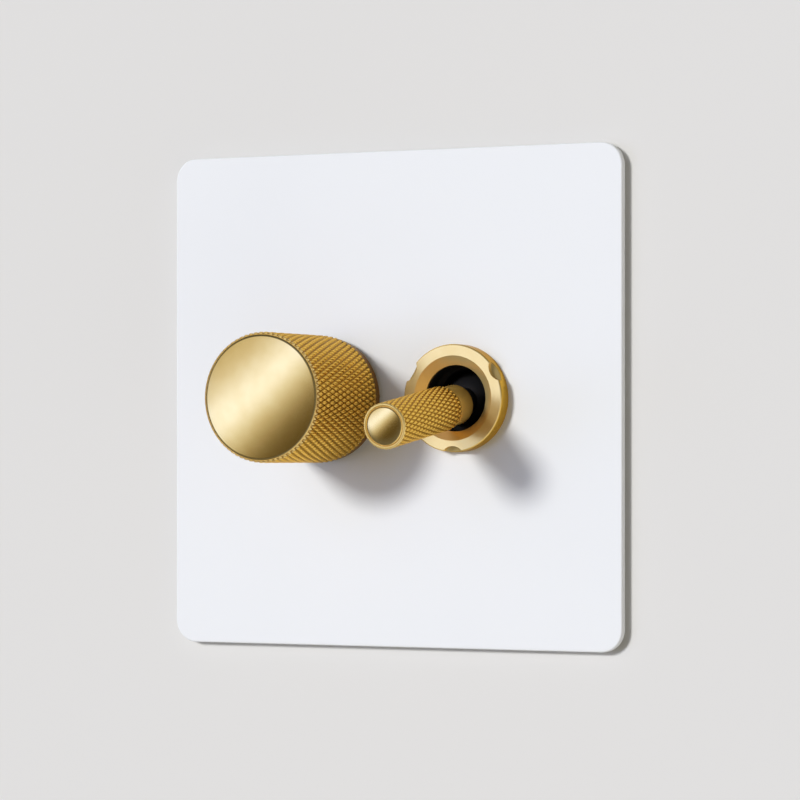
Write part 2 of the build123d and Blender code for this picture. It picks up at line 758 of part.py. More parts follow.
tail_r = tail_diameter / 2
plunger_r = plunger_diameter / 2
well_start = pin_r + thread_gap + plunger_well_wall
with BuildPart() as toggle_stem:
    with BuildSketch(lever_plane):
        with BuildLine():
            ball_front = math.sqrt(ball_r ** 2 - stem_r ** 2)
            ball_back = -math.sqrt(ball_r ** 2 - tail_r ** 2)
            ThreePointArc((stem_r, ball_front), (ball_r, 0), (tail_r, ball_back))
            Polyline((tail_r, ball_back), (tail_r, -tail_length), (plunger_r + thread_gap, -tail_length),
                     (plunger_r + thread_gap, -well_start), (0, -well_start), (0, stem_end),
                     (stem_r, stem_end), (stem_r, ball_front))
        make_face()
    revolve(axis=lever_axis)
    with BuildSketch(side(toggle_x - thread_r)):
        with Locations((pivot_y, 0)):
            Circle(pin_r + thread_gap)
    extrude(amount=2 * thread_r, mode=Mode.SUBTRACT)
save(toggle_stem, "toggle_stem")

plunger_start = plunger_tip - plunger_length
with BuildPart() as toggle_plunger:
    with BuildSketch(lever_plane):
        with BuildLine():
            Line((0, -plunger_tip), (0, -plunger_start))
            Line((0, -plunger_start), (plunger_r, -plunger_start))
            Line((plunger_r, -plunger_start), (plunger_r, plunger_r - plunger_tip))
            round_off = plunger_r * math.sqrt(0.5)
            ThreePointArc((plunger_r, plunger_r - plunger_tip),
                          (round_off, plunger_r - plunger_tip - round_off), (0, -plunger_tip))
        make_face()
    revolve(axis=lever_axis)
save(toggle_plunger, "toggle_plunger")

spring_wire_r = plunger_wire / 2
spring_front = -well_start - spring_wire_r
spring_back = -plunger_start + spring_wire_r
spring_foot = lever_plane.from_local_coords((0, spring_back, 0))
spring_length = spring_front - spring_back
with BuildPart() as toggle_spring:
    with BuildLine() as toggle_coil:
        Helix(pitch=spring_length / coil_turns, height=spring_length,
              radius=plunger_r - spring_wire_r - thread_gap,
              center=spring_foot, direction=lever_axis.direction)
    with BuildSketch(Plane(toggle_coil.line @ 0, z_dir=toggle_coil.line % 0)):
        RegularPolygon(spring_wire_r, 6)
    sweep(path=toggle_coil.line, is_frenet=True)
save(toggle_spring, "toggle_spring")

# Steel frame: plate behind the bush's flange, two legs along the case, tabs under its back edge
frame_y = flange_sheet
case_front_y = frame_y + frame_sheet
case_back_y = case_front_y + case_depth
frame_leg_x = (case_width + frame_sheet) / 2
with BuildPart() as toggle_frame:
    with BuildSketch(facing(case_front_y, toggle_x)):
        Rectangle(case_width + 2 * frame_sheet, flange_height)
        Circle(throat_r, mode=Mode.SUBTRACT)
    extrude(amount=frame_sheet)
    for hand in (-1, 1):
        with BuildSketch(facing(case_back_y + frame_sheet, toggle_x + hand * frame_leg_x)):
            Rectangle(frame_sheet, frame_leg_width)
        extrude(amount=case_back_y + frame_sheet - frame_y)
        tab_x = toggle_x + hand * (frame_leg_x - frame_tab / 2)
        with BuildSketch(facing(case_back_y + frame_sheet, tab_x)):
            Rectangle(frame_tab + frame_sheet, frame_leg_width)
        extrude(amount=frame_sheet)
save(toggle_frame, "toggle_frame")

# Rocking contact and the cradle it tips on
rocker_top_y = pivot_y + plunger_tip + running
cradle_y = rocker_top_y + rocker_sheet + loose + cradle_radius + running
saddle_r = cradle_radius + running
chamber_floor_y = case_back_y - case_floor
swing = math.radians(rocker_swing)


def rocked(y, z):
    """A point of the rocking contact, turned from mid-swing to its place at rest."""
    dy = y - cradle_y
    return (cradle_y + dy * math.cos(swing) + z * math.sin(swing), z * math.cos(swing) - dy * math.sin(swing))


arm_end_y = rocker_top_y - rocker_reach * math.tan(swing)
foot = rocker_foot / 2
with BuildPart() as rocker_contact:
    with BuildSketch(side(toggle_x - rocker_width / 2)):
        with BuildLine():
            Polyline(rocked(rocker_top_y, 0), rocked(arm_end_y, rocker_reach),
                     rocked(arm_end_y + rocker_sheet, rocker_reach),
                     rocked(rocker_top_y + rocker_sheet, foot),
                     rocked(cradle_y, foot), rocked(cradle_y, -foot),
                     rocked(rocker_top_y + rocker_sheet, -foot),
                     rocked(arm_end_y + rocker_sheet, -rocker_reach), rocked(arm_end_y, -rocker_reach),
                     close=True)
        make_face()
        with Locations((cradle_y, 0)):
            Circle(saddle_r, mode=Mode.SUBTRACT)
    extrude(amount=rocker_width)
    for end in (-1, 1):
        pad_y = rocker_top_y - contact_offset * math.tan(swing) + rocker_sheet
        seat = rocked(pad_y, end * contact_offset)
        pad_lean = math.radians(-rocker_swing + end * rocker_swing)
        pad_plane = Plane(origin=(toggle_x, seat[0], seat[1]), x_dir=(1, 0, 0),
                          z_dir=(0, math.cos(pad_lean), math.sin(pad_lean)))
        with BuildSketch(pad_plane.offset(-rocker_sheet / 2)):
            Circle(contact_radius)
        extrude(amount=contact_height + rocker_sheet / 2)
save(rocker_contact, "rocker_contact")


screw_y = case_back_y + block_depth - wire_hole * 0.8


def terminal_outside(z):
    """The clamp block behind the case, with a wire hole from behind and a screw hole from the side."""
    block_end_y = case_back_y + block_depth
    with BuildPart() as block:
        with BuildSketch(facing(block_end_y, toggle_x, z)):
            Rectangle(block_width, block_height)
        extrude(amount=block_depth)
        with BuildSketch(facing(block_end_y, toggle_x, z)):
            Circle(wire_hole / 2)
        extrude(amount=block_depth - block_wall, mode=Mode.SUBTRACT)
        with BuildSketch(side(toggle_x)):
            with Locations((screw_y, z)):
                Circle(clamp_screw / 2 + thread_gap)
        extrude(amount=block_width / 2, mode=Mode.SUBTRACT)
    return block.part


with BuildPart() as common_terminal:
    with BuildSketch(side(toggle_x - rocker_width / 2)):
        with Locations((cradle_y, 0)):
            Circle(cradle_radius)
        with Locations(((cradle_y + case_back_y) / 2, 0)):
            Rectangle(case_back_y - cradle_y, blade_sheet)
    extrude(amount=rocker_width)
    add(terminal_outside(0))
save(common_terminal, "common_terminal")

pad_face_y = rocker_top_y - contact_offset * math.tan(swing) + rocker_sheet + contact_height
pad_face = rocked(pad_face_y, contact_offset)
fixed_pad_y = pad_face[0] + running
fixed_pad_z = pad_face[1]
shelf_y = fixed_pad_y + contact_height
shelf_half = contact_radius + shelf_margin


def fixed_terminal(hand):
    """A fixed contact on its shelf, the blade through the case's floor and the clamp block behind."""
    with BuildPart() as terminal:
        with BuildSketch(facing(shelf_y, toggle_x, hand * fixed_pad_z)):
            Circle(contact_radius)
        extrude(amount=contact_height)
        with BuildSketch(facing(shelf_y + blade_sheet, toggle_x, hand * fixed_pad_z)):
            Rectangle(rocker_width, 2 * shelf_half)
        extrude(amount=blade_sheet)
        with BuildSketch(facing(case_back_y, toggle_x, hand * (fixed_pad_z + shelf_half - blade_sheet / 2))):
            Rectangle(rocker_width, blade_sheet)
        extrude(amount=case_back_y - shelf_y)
        add(terminal_outside(hand * fixed_pad_z))
    return terminal


upper_terminal = fixed_terminal(1)
save(upper_terminal, "upper_terminal")
lower_terminal = fixed_terminal(-1)
save(lower_terminal, "lower_terminal")

# Moulded case of the switch: chamber as wide as the bush's throat and open to the frame, a slot in its
# floor for each blade, and a barrier between each two terminals
blade_slots = (0, fixed_pad_z + shelf_half - blade_sheet / 2, -fixed_pad_z - shelf_half + blade_sheet / 2)
with BuildPart() as toggle_case:
    with BuildSketch(facing(case_back_y, toggle_x)):
        RectangleRounded(case_width, case_height, case_corner)
    extrude(amount=case_depth)
    with BuildSketch(facing(chamber_floor_y, toggle_x)):
        RectangleRounded(2 * throat_r, chamber_height, case_corner / 2)
    extrude(amount=case_depth, mode=Mode.SUBTRACT)
    for slot_z in blade_slots:
        with BuildSketch(facing(case_back_y, toggle_x, slot_z)):
            Rectangle(rocker_width + 2 * thread_gap, blade_sheet + 2 * thread_gap)
        extrude(amount=case_floor, mode=Mode.SUBTRACT)
    with BuildSketch(facing(case_back_y + barrier_height, toggle_x)):
        with GridLocations(0, fixed_pad_z, 1, 2):
            Rectangle(case_width - 2 * frame_tab - 2 * running, barrier_thickness)
    extrude(amount=barrier_height)
save(toggle_case, "toggle_case")

# Clamp screws of the switch: one in the side of each block
with BuildPart() as toggle_terminal_screws:
    for screw_z in (0, fixed_pad_z, -fixed_pad_z):
        with BuildSketch(side(toggle_x + wire_hole / 2)):
            with Locations((screw_y, screw_z)):
                Circle(clamp_screw / 2)
        extrude(amount=(block_width - wire_hole) / 2)
        with BuildSketch(side(toggle_x + block_width / 2)):
            with Locations((screw_y, screw_z)):
                Circle(side_screw_head / 2)
        extrude(amount=side_screw_head_height)
        with BuildSketch(side(toggle_x + block_width / 2 + side_screw_head_height - slot_depth)):
            with Locations((screw_y, screw_z)):
                Rectangle(1.1 * side_screw_head, slot_width)
        extrude(amount=slot_depth, mode=Mode.SUBTRACT)
save(toggle_terminal_screws, "toggle_terminal_screws")
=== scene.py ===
# %% [markdown]
# # A light switch with a dimmer, dressed for its photograph
#
# The object is a thin white wall plate with two brass controls: a knurled knob that turns and pushes, and
# a knurled toggle. Its solids come from the CAD frame, at their real size. This lesson gives them their
# finishes, and works out the two knurled pieces anew, because a knurl is hundreds of small diamonds that
# a CAD solid leaves out.

# %% Load the frame
import json

import bmesh
import bpy
import numpy as np
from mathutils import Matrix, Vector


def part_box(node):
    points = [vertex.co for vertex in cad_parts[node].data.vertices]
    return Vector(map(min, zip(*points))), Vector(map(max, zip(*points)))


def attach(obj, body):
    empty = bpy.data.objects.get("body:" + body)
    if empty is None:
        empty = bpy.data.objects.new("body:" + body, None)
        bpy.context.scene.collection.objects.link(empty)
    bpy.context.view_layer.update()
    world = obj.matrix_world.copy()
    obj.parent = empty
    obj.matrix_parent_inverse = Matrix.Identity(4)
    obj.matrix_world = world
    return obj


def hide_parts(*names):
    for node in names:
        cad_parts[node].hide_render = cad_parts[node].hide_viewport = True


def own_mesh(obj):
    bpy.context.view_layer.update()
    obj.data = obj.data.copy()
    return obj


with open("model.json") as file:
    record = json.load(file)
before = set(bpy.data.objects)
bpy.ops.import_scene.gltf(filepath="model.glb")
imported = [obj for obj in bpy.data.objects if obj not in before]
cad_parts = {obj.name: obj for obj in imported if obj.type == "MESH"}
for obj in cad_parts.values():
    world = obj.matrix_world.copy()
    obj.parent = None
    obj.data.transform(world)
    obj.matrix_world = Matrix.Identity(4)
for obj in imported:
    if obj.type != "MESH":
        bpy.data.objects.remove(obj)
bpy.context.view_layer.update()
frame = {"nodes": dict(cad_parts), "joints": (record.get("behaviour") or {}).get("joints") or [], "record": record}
MM = 0.001
MICRON = 0.000001

# %% [markdown]
# ## A small language for shader maths
#
# A procedural finish is arithmetic on the place of a point. Blender writes that arithmetic as nodes and
# links, which are slow to read. So one small class wraps a socket, and Python's own operators add the
# Math nodes. Every other node comes from one method, which sets the node's settings first and then its
# sockets.


# %% Wrap a socket
class Wire:
    """The number, vector or colour that a socket gives. An operator adds a Math node."""

    def __init__(self, graph, socket):
        self.graph = graph
        self.socket = socket

    def math(self, operation, *values):
        """A Math node with this operation on the values, each a wire or a number."""
        return self.graph.node("Math", {"operation": operation}, dict(enumerate(values)))

    def sine(self):
        """The sine of this number."""
        return self.math("SINE", self)

    def __add__(self, other):
        return self.math("ADD", self, other)

    def __sub__(self, other):
        return self.math("SUBTRACT", self, other)

    def __rsub__(self, other):
        return self.math("SUBTRACT", other, self)

    def __mul__(self, other):
        return self.math("MULTIPLY", self, other)

    def __pow__(self, other):
        return self.math("POWER", self, other)

    __radd__ = __add__
    __rmul__ = __mul__


# %% Build node trees
class Graph:
    """A node tree in the making."""

    def __init__(self, tree):
        self.tree = tree

    def node(self, kind, settings=None, sockets=None, out=0):
        """Any shader node. Its settings, or a ramp's stops, are set first, then its sockets."""
        made = self.tree.nodes.new("ShaderNode" + kind)
        for key, value in (settings or {}).items():
            if key == "stops":
                self.stops(made.color_ramp.elements, value)
            else:
                setattr(made, key, value)
        self.feed(made, sockets or {})
        return Wire(self, made.outputs[out])

    def stops(self, elements, stops):
        """Gives a colour ramp its stops: pairs of a place from 0 to 1 and a colour."""
        while len(elements) < len(stops):
            elements.new(1.0)
        for element, (place, colour) in zip(elements, stops):
            element.position = place
            element.color = (*colour, 1)

    def feed(self, node, sockets):
        """Links each wire to its socket, and sets the other sockets to their values."""
        for key, value in sockets.items():
            if isinstance(value, Wire):
                self.tree.links.new(value.socket, node.inputs[key])
            else:
                node.inputs[key].default_value = value

    def axes(self, vector):
        """The three numbers of a vector, each as a wire."""
        split = self.node("SeparateXYZ", sockets={0: vector})
        return [Wire(self, socket) for socket in split.socket.node.outputs]

    def along(self, vector, way):
        """How far a vector reaches along a way: their dot product."""
        return self.node("VectorMath", {"operation": "DOT_PRODUCT"}, {0: vector, 1: way}, out=1)

    def shift(self, value, low, high, new_low, new_high):
        """The value carried from one range to another, held at its ends."""
        return self.node("MapRange", {"clamp": True}, {0: value, 1: low, 2: high, 3: new_low, 4: new_high})

    def mix(self, factor, first, second):
        """A colour between two colours, each a wire or three numbers."""
        first, second = (c if isinstance(c, Wire) else (*c, 1) for c in (first, second))
        return self.node("Mix", {"data_type": "RGBA"}, {0: factor, 6: first, 7: second}, out=2)


# %% Build finishes
class Finish(Graph):
    """A material in the making, with the Principled shader that it feeds."""

    def __init__(self, name):
        self.material = bpy.data.materials.new(name)
        self.material.use_nodes = True
        super().__init__(self.material.node_tree)
        self.shader = self.tree.nodes["Principled BSDF"]

    def set(self, **sockets):
        """Sets or links the Principled shader's sockets. An underscore stands for a space."""
        self.feed(self.shader, {key.replace("_", " "): value for key, value in sockets.items()})

    def place(self, centre=(0, 0, 0), turn=(0, 0, 0)):
        """The point's place on the piece in millimetres, seen from centre (metres) and turned."""
        coordinates = self.node("TexCoord", out=3)
        moved = self.node("VectorMath", {"operation": "SUBTRACT"}, {0: coordinates, 1: centre})
        return self.node("Mapping", {"vector_type": "TEXTURE"},
                         {"Vector": moved, "Rotation": turn, "Scale": (MM,) * 3})

    def mark(self, name):
        """A number that the piece's mesh carries at each of its points."""
        return self.node("Attribute", {"attribute_name": name}, out=2)

    def noise(self, where, scale, detail=2, dimensions="3D"):
        """Soft noise from 0 to 1. where is a vector, or a number where dimensions is 1D."""
        key = "W" if dimensions == "1D" else "Vector"
        return self.node("TexNoise", {"noise_dimensions": dimensions},
                         {key: where, "Scale": scale, "Detail": detail})

    def spread(self, noise, new_low, new_high):
        """Noise carried to a new range. It seldom leaves 0.3 to 0.7, so that counts as its range."""
        seldom_below, seldom_above = 0.3, 0.7
        return self.shift(noise, seldom_below, seldom_above, new_low, new_high)

    def bump(self, height, distance):
        """Relief: height from 0 to 1 stands for this distance in metres."""
        relief = {"Height": height, "Distance": distance, "Strength": 1.0}
        self.set(Normal=self.node("Bump", sockets=relief))


# %% [markdown]
# ## Brass, turned and lacquered
#
# The knob, the bar and the dress nut are turned from brass bar and left with the tool's fine rings, then
# lacquered. The rings could be real geometry, but they are finer than a pixel, so they are relief: noise
# along one number, the radius plus the depth, gives rings on an end face and bands on a side wall with
# one formula. Where the piece has a knurl, its mesh carries marks: how deep a point lies in a groove, and
# whether it belongs to the knurled grip, to the bevelled rim or to what lies behind the grip. The colour
# follows them, and much of it is painted light: the grooves darken as painted shade, the grip's warm
# orange is a painted reflection, the knob's plain land behind its grip is darkened as painted shade, and
# the bar's neck behind its grip is brightened as painted light. The dress nut's outer wall has a painted
# warm reflection too. Tones are linear red, green and blue, from 0 to 1.

# %% Brass tones
turned_tones = (0.82, 0.61, 0.25), (0.86, 0.66, 0.29)
# The knurled grip's warm orange is a painted reflection of warm light, not a second alloy.
pad_reflection_tone = (0.97, 0.6, 0.12)
rim_tone = (0.92, 0.68, 0.26)
# The grooves' dark brown is painted shade.
groove_shade_tone = (0.24, 0.105, 0.006)
# The knob's plain land behind the grip is darkened as painted shade, as if it mirrored the shadow beside it on the
# plate.
land_shade_tone = (0.26, 0.13, 0.025)
# The bar's neck, which lies in shade, is brightened to a warm gold as painted light.
neck_light_tone = (1.0, 0.62, 0.15)
# The dress nut's outer wall is a warm gold as a painted reflection.
side_reflection_tone = (0.8, 0.48, 0.07)
edge_tone = (0.62, 0.42, 0.14)
# Where the painted reflection on the nut's wall starts and is full, in millimetres inside its radius, then the
# groove depths where the painted groove shade starts and is full.
side_reflection_start, side_reflection_full = 0.12, 0.04
groove_shade_start, groove_shade_full = 0.25, 0.9
print("pad", pad_reflection_tone, "with grooves", groove_shade_tone)


# %% Brass finishes
def turned_brass(name, centre, turn=(0, 0, 0), knurled=False, behind_painted_tone=land_shade_tone, metal=1.0,
                 side_r=None):
    """Turned brass: its rings are noise along radius + y, where radius is the root of x^2 + z^2.

    On a knurled piece each zone moves the colour and the metal to its own, old + inside * (zone - old): the
    grip's colour is a painted warm reflection, the tone behind the grip is painted shade on the knob's land
    and painted light on the bar's neck, and the grooves darken as painted shade. A piece with side_r has a
    painted warm reflection on its outer wall, from the start distance of that tone inside that radius.
    """
    finish = Finish(name)
    place = finish.place(centre, turn)
    x, y, z = finish.axes(place)
    radius = (x ** 2 + z ** 2) ** 0.5
    rings = finish.noise(radius + y, scale=9, detail=3, dimensions="1D")
    cloud = finish.noise(place, scale=0.35, detail=3)
    colour = finish.mix(finish.spread(cloud, 0, 1), *turned_tones)
    # The nut's outer wall gets a warm gold as a painted reflection.
    if side_r:
        side = finish.shift(radius, side_r - side_reflection_start, side_r - side_reflection_full, 0, 1)
        colour = finish.mix(side, colour, side_reflection_tone)
    if knurled:
        # The grip's tone is a painted warm reflection; the tone behind the grip is painted shade on the knob's
        # land and painted light on the bar's neck.
        zones = [("knurled", pad_reflection_tone, 0.72), ("bevel", rim_tone, 0.7), ("behind", behind_painted_tone, 0.55)]
        for zone, zone_tone, zone_metal in zones:
            inside = finish.mark(zone)
            colour = finish.mix(inside, colour, zone_tone)
            metal = metal - inside * (metal - zone_metal)
        # Painted shade: the colour darkens towards the bottom of each groove.
        depth = finish.shift(finish.mark("groove"), groove_shade_start, groove_shade_full, 0, 1)
        colour = finish.mix(depth, colour, groove_shade_tone)
    finish.set(Base_Color=colour, Metallic=metal, Roughness=finish.spread(rings, 0.17, 0.22),
               Specular_Tint=(*edge_tone, 1))
    finish.bump(rings, distance=2.5 * MICRON)
    return finish.material


def plain_brass(name):
    """Brass as it left the tool: soft noise moves its colour and gloss, and finer noise is grain."""
    finish = Finish(name)
    cloud = finish.noise(finish.place(), scale=0.9, detail=3)
    grain = finish.noise(finish.place(), scale=6)
    finish.set(Base_Color=finish.mix(cloud, (0.66, 0.48, 0.2), (0.8, 0.6, 0.3)), Metallic=1.0,
               Roughness=finish.spread(cloud, 0.22, 0.36))
    finish.bump(grain, distance=4 * MICRON)
    return finish.material


# %% [markdown]
# ## Paint, plastics and plated steel
#
# The plate is powder coated: a satin white with a faint orange peel. The hidden pieces are moulded or
# pressed. Each has one short function, so its colour and relief are easy to find.


# %% Paint and plastics
def painted(name):
    """Powder coat: wide, faint noise moves its white, and fine noise is its orange peel."""
    finish = Finish(name)
    peel = finish.noise(finish.place(), scale=1.6, detail=1)
    cloud = finish.noise(finish.place(), scale=0.05, detail=1)
    finish.set(Base_Color=finish.mix(cloud, (0.827, 0.838, 0.828), (0.842, 0.852, 0.842)),
               Roughness=finish.spread(peel, 0.42, 0.5))
    finish.bump(peel, distance=2 * MICRON)
    return finish.material


def moulded(name, colour, roughness=0.45, grain=6 * MICRON):
    """Moulded plastic: noise between its colour and a darker one, and a fine spark-eroded grain."""
    finish = Finish(name)
    cloud = finish.noise(finish.place(), scale=0.2)
    fine = finish.noise(finish.place(), scale=7)
    dark_share = 0.85
    darker = tuple(dark_share * value for value in colour)
    finish.set(Base_Color=finish.mix(cloud, darker, colour),
               Roughness=finish.spread(fine, roughness - 0.06, roughness + 0.06))
    finish.bump(fine, distance=grain)
    return finish.material


# %% Plated and bare metals
def plated(name, low, high, roughness):
    """Plated sheet: noise patches in colour and gloss, and noise along x + 0.4 y for rolling marks."""
    finish = Finish(name)
    place = finish.place()
    cloud = finish.noise(place, scale=0.45, detail=4)
    x, y, _ = finish.axes(place)
    marks = finish.noise(x + 0.4 * y, scale=14, dimensions="1D")
    finish.set(Base_Color=finish.mix(cloud, low, high), Metallic=1.0,
               Roughness=finish.shift(cloud, 0.35, 0.65, roughness - 0.07, roughness + 0.07))
    finish.bump(marks, distance=2 * MICRON)
    return finish.material


# %% Wire and board
def wound(name, centre):
    """Enamelled copper wire wound round a ring: the sine of 56 times the angle round its middle."""
    finish = Finish(name)
    x, _, z = finish.axes(finish.place(centre))
    angle = z.math("ARCTAN2", z, x)
    height = finish.shift((angle * 56).sine(), -1, 1, 0, 1)
    # Painted shade: the colour darkens where the wire's height is low, between the turns.
    finish.set(Base_Color=finish.mix(height, (0.2, 0.07, 0.02), (0.66, 0.28, 0.1)), Metallic=0.8,
               Roughness=0.28)
    finish.bump(height, distance=150 * MICRON)
    return finish.material


def laminate(name):
    """Board of woven glass in green resist: the product of two crossed sines, under a clear green."""
    finish = Finish(name)
    x, _, z = finish.axes(finish.place())
    height = finish.shift((x * 9).sine() * (z * 9).sine(), -1, 1, 0, 1)
    finish.set(Base_Color=finish.mix(height, (0.045, 0.17, 0.07), (0.075, 0.24, 0.1)), Roughness=0.3)
    finish.bump(height, distance=10 * MICRON)
    return finish.material


# %% [markdown]
# ## A knurled bar as one surface
#
# A knurl is rolled by two wheels whose ribs lean left and right. Each leaves a family of parallel
# grooves, and what stands between two crossed families is a field of small diamond pads. It could be made
# by cutting hundreds of grooves, but the same form is one formula on a turned surface: the distance to
# the nearest groove of either family, which makes a V near the groove and a slightly crowned pad away
# from it. The grid has eight steps to a tooth both ways, so its corners follow the grooves' bottoms.


# %% Profiles
def rounded(corners, ease, step):
    """A profile through corners (place along the axis, radius), each corner cut by an arc-like curve.

    Each inner corner is left at the distance ease before it and joined at the same distance after it by
    the curve (1-t)^2 a + 2 t (1-t) corner + t^2 b. The straight runs are divided into steps of about this
    length.
    """
    curve_points = 4
    doubled = 1e-6
    corners = np.array(corners, float)
    pieces = [corners[:1]]
    for before, here, after in zip(corners[:-2], corners[1:-1], corners[2:]):
        back, ahead = before - here, after - here
        a = here + back / np.linalg.norm(back) * min(ease, np.linalg.norm(back) / 2)
        b = here + ahead / np.linalg.norm(ahead) * min(ease, np.linalg.norm(ahead) / 2)
        t = np.linspace(0, 1, curve_points)[:, None]
        pieces.append(run(pieces[-1][-1], a, step))
        pieces.append((1 - t) ** 2 * a + 2 * t * (1 - t) * here + t ** 2 * b)
    pieces.append(run(pieces[-1][-1], corners[-1], step))
    points = np.concatenate(pieces)
    apart = np.linalg.norm(np.diff(points, axis=0), axis=1) > doubled
    return points[np.concatenate([[True], apart])]


def run(start, end, step):
    """Points on the straight line start + (end - start) t, about a step apart, without the start."""
    count = max(1, int(round(np.linalg.norm(end - start) / step)))
    t = np.arange(1, count + 1)[:, None] / count
    return start + (end - start) * t


def dome(radius, height, rim, count):
    """The profile of a domed end, from its middle to its edge: a circle's arc of this height over the rim.

    The circle's radius is (radius^2 + height^2) / (2 height), as for any arc over a chord.
    """
    r = np.linspace(0, radius, count)
    ball = (radius ** 2 + height ** 2) / (2 * height)
    return np.stack([rim + height - ball + np.sqrt(ball ** 2 - r ** 2), r], axis=1)


# %% A turned mesh
def turned_mesh(name, profile, radius, origin, axis, angles, marks):
    """A closed piece of revolution. Row i lies profile[i, 0] along the axis, at radius[i, j] for angle j.

    The point is origin + along * axis + radius * (cos(angle) * across + sin(angle) * up), for the two
    directions square to the axis. The first and last rows are single points on the axis.
    """
    axis = np.array(axis, float)
    across = np.array([1.0, 0.0, 0.0])
    up = np.cross(across, axis)
    ring = np.cos(angles)[:, None] * across + np.sin(angles)[:, None] * up
    grid = origin + profile[1:-1, 0][:, None, None] * axis + radius[1:-1, :, None] * ring
    ends = np.array([origin + profile[0, 0] * axis, origin + profile[-1, 0] * axis])
    rows, columns = grid.shape[:2]
    points = np.concatenate([grid.reshape(-1, 3), ends]) * MM
    index = np.arange(rows * columns).reshape(rows, columns)
    beside = np.roll(index, -1, axis=1)
    quads = np.stack([index[:-1], index[1:], beside[1:], beside[:-1]], axis=-1).reshape(-1, 4)
    first, last = rows * columns, rows * columns + 1
    start_fan = np.stack([np.full(columns, first), index[0], beside[0]], axis=-1)
    end_fan = np.stack([np.full(columns, last), beside[-1], index[-1]], axis=-1)
    mesh = bpy.data.meshes.new(name)
    mesh.from_pydata(points.tolist(), [], [*quads.tolist(), *start_fan.tolist(), *end_fan.tolist()])
    for mark, values in marks.items():
        inner = np.broadcast_to(values, radius.shape)[1:-1].ravel()
        numbers = np.concatenate([inner, [0, 0]]).astype(np.float32)
        mesh.attributes.new(mark, "FLOAT", "POINT").data.foreach_set("value", numbers)
    mesh.polygons.foreach_set("use_smooth", np.ones(len(mesh.polygons), bool))
    mesh.update()
    print(name, len(points), "points,", 2 * len(quads) + 2 * columns, "triangles")
    return mesh


def link(name, data):
    """An object for a mesh, a lamp or a camera, at the origin of the scene."""
    made = bpy.data.objects.new(name, data)
    bpy.context.scene.collection.objects.link(made)
    return made


# %% The knurl's formula
groove_half = 0.25
crown = 0.12
tooth_steps = 8
outer_wall = 0.5


def knurl(along, angle, teeth, period):
    """How deep a point lies in the knurl: 1 in a groove's bottom, 0 in a pad's middle.

    The two groove families are the whole numbers of angle*teeth/turn + along/period and of the same with
    a minus sign. The distance d to the nearest whole number is 0 in a groove and 1/2 midway between two.
    A groove is a V that ends at d = groove_half, and each pad between has a slight crown, 1 - 2 d.
    """
    around = angle * teeth / (2 * np.pi)
    lean = along / period
    left = np.abs(around + lean - np.round(around + lean))
    right = np.abs(around - lean - np.round(around - lean))
    d = np.minimum(left, right)
    return (1 - crown) * (1 - d / groove_half).clip(0, 1) + crown * (1 - 2 * d)


# %% A knurled mesh
def knurled(name, cap, rim, back, bar_r, grip, teeth, period, depth, origin, axis, notched):
    """A knurled turned piece, from its profiles (along, radius): domed cap, rim, and what follows the grip.

    The grip's radius is bar_r - depth * knurl. Where the rim is notched, the grooves cut what lies further
    out than their floor there too, so they run out through the bevel. What follows the grip counts as
    behind it where it lies within outer_wall of the bar's radius. grip is where the knurl starts and ends
    along the axis, teeth its count round the bar, and period a tooth's length along it.
    """
    start, end = grip
    front = np.concatenate([cap, rim])
    rows = int(round((start - end) / period * tooth_steps))
    grip_rows = np.stack([np.linspace(start, end, rows + 1), np.full(rows + 1, bar_r)], axis=1)
    profile = np.concatenate([front, grip_rows, back])
    angles = np.arange(teeth * tooth_steps) * 2 * np.pi / (teeth * tooth_steps)
    along, angle = np.meshgrid(profile[:, 0] - end, angles, indexing="ij")
    groove = knurl(along, angle, teeth, period)
    row = np.arange(len(profile))[:, None]
    reach = profile[:, 1:]
    grip_end = len(front) + len(grip_rows)
    first_cut = len(cap) if notched else len(front)
    cut = (row >= first_cut) & (row < grip_end) & (reach > bar_r - depth)
    radius = np.where(cut, np.minimum(reach, bar_r - depth * groove), reach)
    marks = {
        "groove": groove * cut,
        "knurled": cut & (row >= len(front)),
        "bevel": (row >= len(cap)) & (row < len(front)),
        "behind": (row > grip_end) & (reach > bar_r - outer_wall),
    }
    return link(name, turned_mesh(name, profile, radius, origin, axis, angles, marks))


# %% [markdown]
# ## The dimmer knob
#
# The knob is turned from brass bar, 22.2 mm across. From the front it has a shallow dome, a fine groove
# and a rim, then the knurled grip and a plain land at the back. It is hollow behind, where it hides the
# bush's nut and grips the shaft. Its place is read from the CAD node, and its profile repeats the CAD's
# sizes, in millimetres.

# %% Knob sizes
knob_low, knob_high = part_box("dimmer_knob")
knob_centre = (knob_low + knob_high) / 2
knob_r = (knob_high.x - knob_low.x) / 2 / MM
knob_dome = 1.4
knob_length = (knob_high.y - knob_low.y) / MM - knob_dome
knob_bevel = 0.35
knob_bevel_depth = 0.55
knob_groove = 0.15
knob_land = 2.0
knob_land_step = 0.25
knob_recess_r = 9.3
knob_recess = 6.0
knob_bore = 9.8
insert_r = 4.6
edge_break = 0.2
knob_teeth = 72
knob_tooth_length = 2.9
knob_knurl_depth = 0.4
print("knob radius", round(knob_r, 2), "and length", round(knob_length + knob_dome, 2), "mm")

